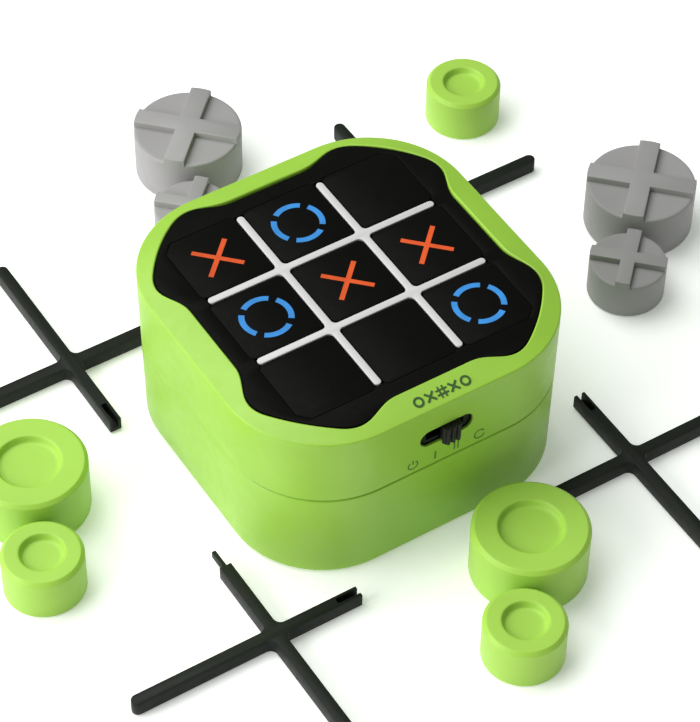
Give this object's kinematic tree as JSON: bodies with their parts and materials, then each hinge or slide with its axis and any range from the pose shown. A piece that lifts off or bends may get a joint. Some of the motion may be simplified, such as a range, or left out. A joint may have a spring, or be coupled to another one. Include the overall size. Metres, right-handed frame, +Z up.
{
  "type": "tic tac toe set",
  "caption": "Palm-sized electronic tic tac toe console with pressable lit keys and a slide switch, with loose nesting tokens and joining grid crosses.",
  "frame": {"origin": "centre of the console's flat base, on the surface that the whole set stands on", "axes": "+Z up; the front, with the slide switch, faces -Y; +X to the right seen from the front"},
  "size_m": [0.2081, 0.1986, 0.0476],
  "materials": {
    "green_plastic": "satin moulded lime-green plastic",
    "black_plastic": "satin black plastic",
    "smoked_cap": "smoked black key cap that hides the marks until they light",
    "white_plastic": "white moulded plastic",
    "clear_plastic": "clear light-guide plastic",
    "circuit_board": "green solder mask on glass-epoxy",
    "steel": "plated steel",
    "dark_plastic": "near-black moulded plastic",
    "grey_token": "grey moulded plastic",
    "cell_jacket": "steel can in a plain plastic sleeve"
  },
  "bodies": {
    "console": {"top_shell": "green_plastic", "bottom_shell": "green_plastic", "panel": "black_plastic", "switch_plate": "black_plastic", "grid_insert": "white_plastic", "light_baffle": "white_plastic", "main_board": "circuit_board", "slide_switch": "steel", "speaker": "dark_plastic", "cell_1": "cell_jacket", "cell_2": "cell_jacket", "cell_3": "cell_jacket", "contacts_left": "steel", "contacts_right": "steel", "case_screw_1": "steel", "case_screw_2": "steel", "case_screw_3": "steel", "case_screw_4": "steel"},
    "door": {"battery_door": "green_plastic", "door_screw": "steel"},
    "switch": {"switch_knob": "black_plastic"},
    "key_1": {"key_cap_1": "smoked_cap", "light_guide_1": "clear_plastic"},
    "key_2": {"key_cap_2": "smoked_cap", "light_guide_2": "clear_plastic"},
    "key_3": {"key_cap_3": "smoked_cap", "light_guide_3": "clear_plastic"},
    "key_4": {"key_cap_4": "smoked_cap", "light_guide_4": "clear_plastic"},
    "key_5": {"key_cap_5": "smoked_cap", "light_guide_5": "clear_plastic"},
    "key_6": {"key_cap_6": "smoked_cap", "light_guide_6": "clear_plastic"},
    "key_7": {"key_cap_7": "smoked_cap", "light_guide_7": "clear_plastic"},
    "key_8": {"key_cap_8": "smoked_cap", "light_guide_8": "clear_plastic"},
    "key_9": {"key_cap_9": "smoked_cap", "light_guide_9": "clear_plastic"},
    "token_x_large_back_body": {"token_x_large_back": "grey_token"},
    "token_x_large_right_body": {"token_x_large_right": "grey_token"},
    "token_o_large_front_body": {"token_o_large_front": "green_plastic"},
    "token_o_large_left_body": {"token_o_large_left": "green_plastic"},
    "token_x_small_back_body": {"token_x_small_back": "grey_token"},
    "token_x_small_right_body": {"token_x_small_right": "grey_token"},
    "token_o_small_back_body": {"token_o_small_back": "green_plastic"},
    "token_o_small_front_body": {"token_o_small_front": "green_plastic"},
    "token_o_small_left_body": {"token_o_small_left": "green_plastic"},
    "cross_front_left_body": {"cross_front_left": "dark_plastic"},
    "cross_front_right_body": {"cross_front_right": "dark_plastic"},
    "cross_back_right_body": {"cross_back_right": "dark_plastic"},
    "cross_back_left_body": {"cross_back_left": "dark_plastic"}
  },
  "joints": [
    {"name": "battery_door_swing", "type": "hinge", "parent": "console", "child": "door", "pos_m": [0, -0.0254, 0.001], "axis": [-1, 0, 0], "range_deg": [0, 60]},
    {"name": "switch_slide", "type": "slide", "parent": "console", "child": "switch", "axis": [1, 0, 0], "range_m": [-0.0039, 0.00195]},
    {"name": "key_1_press", "type": "slide", "parent": "console", "child": "key_1", "axis": [0, 0, -1], "range_m": [0, 0.0008], "stiffness_N_per_m": 600, "springref_m": -0.0006},
    {"name": "key_2_press", "type": "slide", "parent": "console", "child": "key_2", "axis": [0, 0, -1], "range_m": [0, 0.0008], "stiffness_N_per_m": 600, "springref_m": -0.0006},
    {"name": "key_3_press", "type": "slide", "parent": "console", "child": "key_3", "axis": [0, 0, -1], "range_m": [0, 0.0008], "stiffness_N_per_m": 600, "springref_m": -0.0006},
    {"name": "key_4_press", "type": "slide", "parent": "console", "child": "key_4", "axis": [0, 0, -1], "range_m": [0, 0.0008], "stiffness_N_per_m": 600, "springref_m": -0.0006},
    {"name": "key_5_press", "type": "slide", "parent": "console", "child": "key_5", "axis": [0, 0, -1], "range_m": [0, 0.0008], "stiffness_N_per_m": 600, "springref_m": -0.0006},
    {"name": "key_6_press", "type": "slide", "parent": "console", "child": "key_6", "axis": [0, 0, -1], "range_m": [0, 0.0008], "stiffness_N_per_m": 600, "springref_m": -0.0006},
    {"name": "key_7_press", "type": "slide", "parent": "console", "child": "key_7", "axis": [0, 0, -1], "range_m": [0, 0.0008], "stiffness_N_per_m": 600, "springref_m": -0.0006},
    {"name": "key_8_press", "type": "slide", "parent": "console", "child": "key_8", "axis": [0, 0, -1], "range_m": [0, 0.0008], "stiffness_N_per_m": 600, "springref_m": -0.0006},
    {"name": "key_9_press", "type": "slide", "parent": "console", "child": "key_9", "axis": [0, 0, -1], "range_m": [0, 0.0008], "stiffness_N_per_m": 600, "springref_m": -0.0006},
    {"name": "token_x_large_back_lift", "type": "slide", "parent": "console", "child": "token_x_large_back_body", "axis": [0, 0, 1], "range_m": [0, 0.04]},
    {"name": "token_x_large_right_lift", "type": "slide", "parent": "console", "child": "token_x_large_right_body", "axis": [0, 0, 1], "range_m": [0, 0.04]},
    {"name": "token_o_large_front_lift", "type": "slide", "parent": "console", "child": "token_o_large_front_body", "axis": [0, 0, 1], "range_m": [0, 0.04]},
    {"name": "token_o_large_left_lift", "type": "slide", "parent": "console", "child": "token_o_large_left_body", "axis": [0, 0, 1], "range_m": [0, 0.04]},
    {"name": "token_x_small_back_lift", "type": "slide", "parent": "console", "child": "token_x_small_back_body", "axis": [0, 0, 1], "range_m": [0, 0.04]},
    {"name": "token_x_small_right_lift", "type": "slide", "parent": "console", "child": "token_x_small_right_body", "axis": [0, 0, 1], "range_m": [0, 0.04]},
    {"name": "token_o_small_back_lift", "type": "slide", "parent": "console", "child": "token_o_small_back_body", "axis": [0, 0, 1], "range_m": [0, 0.04]},
    {"name": "token_o_small_front_lift", "type": "slide", "parent": "console", "child": "token_o_small_front_body", "axis": [0, 0, 1], "range_m": [0, 0.04]},
    {"name": "token_o_small_left_lift", "type": "slide", "parent": "console", "child": "token_o_small_left_body", "axis": [0, 0, 1], "range_m": [0, 0.04]},
    {"name": "cross_front_left_lift", "type": "slide", "parent": "console", "child": "cross_front_left_body", "axis": [0, 0, 1], "range_m": [0, 0.04]},
    {"name": "cross_front_right_lift", "type": "slide", "parent": "console", "child": "cross_front_right_body", "axis": [0, 0, 1], "range_m": [0, 0.04]},
    {"name": "cross_back_right_lift", "type": "slide", "parent": "console", "child": "cross_back_right_body", "axis": [0, 0, 1], "range_m": [0, 0.04]},
    {"name": "cross_back_left_lift", "type": "slide", "parent": "console", "child": "cross_back_left_body", "axis": [0, 0, 1], "range_m": [0, 0.04]}
  ]
}
